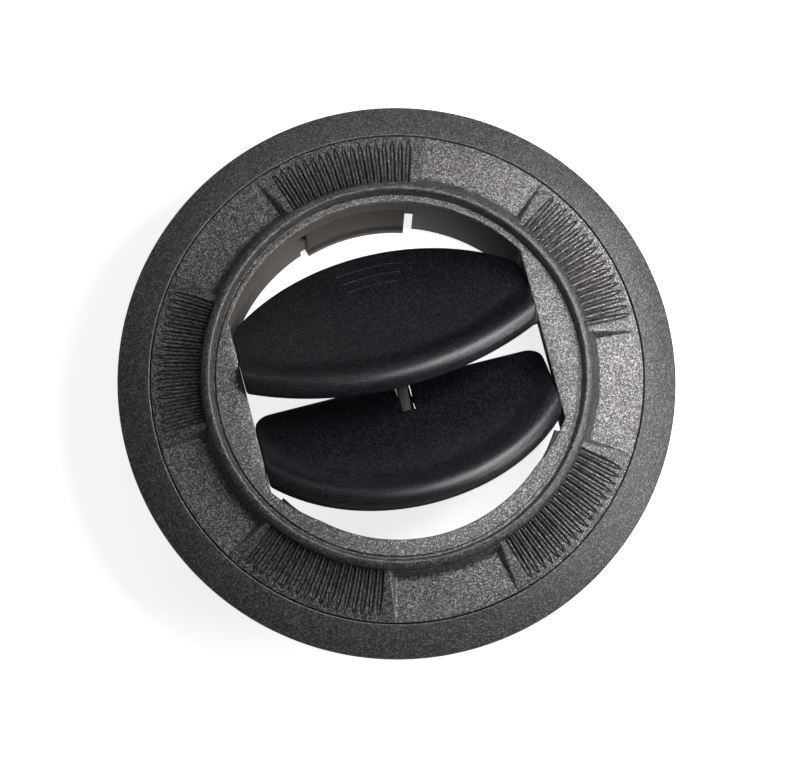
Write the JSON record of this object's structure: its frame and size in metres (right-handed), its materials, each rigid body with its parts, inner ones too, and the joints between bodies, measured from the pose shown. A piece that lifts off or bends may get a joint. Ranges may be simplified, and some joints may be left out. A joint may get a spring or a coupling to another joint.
{
  "type": "air vent",
  "caption": "Round rotating air vent: a flange that snaps into a panel, a ribbed grip ring that turns, and linked vanes that tilt to aim or close the air flow.",
  "frame": {"origin": "on the rotor's axis, in the panel face on which the flange's back rests", "axes": "+Z out of the vent's face along the rotor's axis, +X along the vanes' pivot lines, +Y towards the upper vane"},
  "size_m": [0.096, 0.096, 0.0313],
  "materials": {
    "flange_plastic": "finely grained dark grey plastic",
    "ring_plastic": "coarsely grained dark grey plastic with a slight sparkle",
    "barrel_plastic": "smooth dark brownish grey plastic",
    "vane_plastic": "finely grained bluish black plastic",
    "link_plastic": "smooth grey plastic"
  },
  "bodies": {
    "housing": {"housing": "flange_plastic"},
    "rotor": {"grip_ring": "ring_plastic", "barrel": "barrel_plastic"},
    "upper_vane": {"upper_vane": "vane_plastic"},
    "lower_vane": {"lower_vane": "vane_plastic"},
    "link_bar": {"link_bar": "link_plastic"}
  },
  "joints": [
    {"name": "ring_turn", "type": "hinge", "parent": "housing", "child": "rotor", "pos_m": [0, 0, 0], "axis": [0, 0, 1], "continuous": true},
    {"name": "upper_vane_tilt", "type": "hinge", "parent": "rotor", "child": "upper_vane", "pos_m": [0, 0.0095, 0.0034], "axis": [1, 0, 0], "range_deg": [-53, 26]},
    {"name": "lower_vane_tilt", "type": "hinge", "parent": "rotor", "child": "lower_vane", "pos_m": [0, -0.0095, 0.0034], "axis": [1, 0, 0], "range_deg": [-53, 26]},
    {"name": "link_swing", "type": "hinge", "parent": "upper_vane", "child": "link_bar", "pos_m": [0.0008, 0.01568, -0.00351], "axis": [1, 0, 0], "range_deg": [-26, 53]}
  ],
  "couplings": [
    {"joint": "lower_vane_tilt", "follows": "upper_vane_tilt", "ratio": 1},
    {"joint": "link_swing", "follows": "upper_vane_tilt", "ratio": -1}
  ]
}
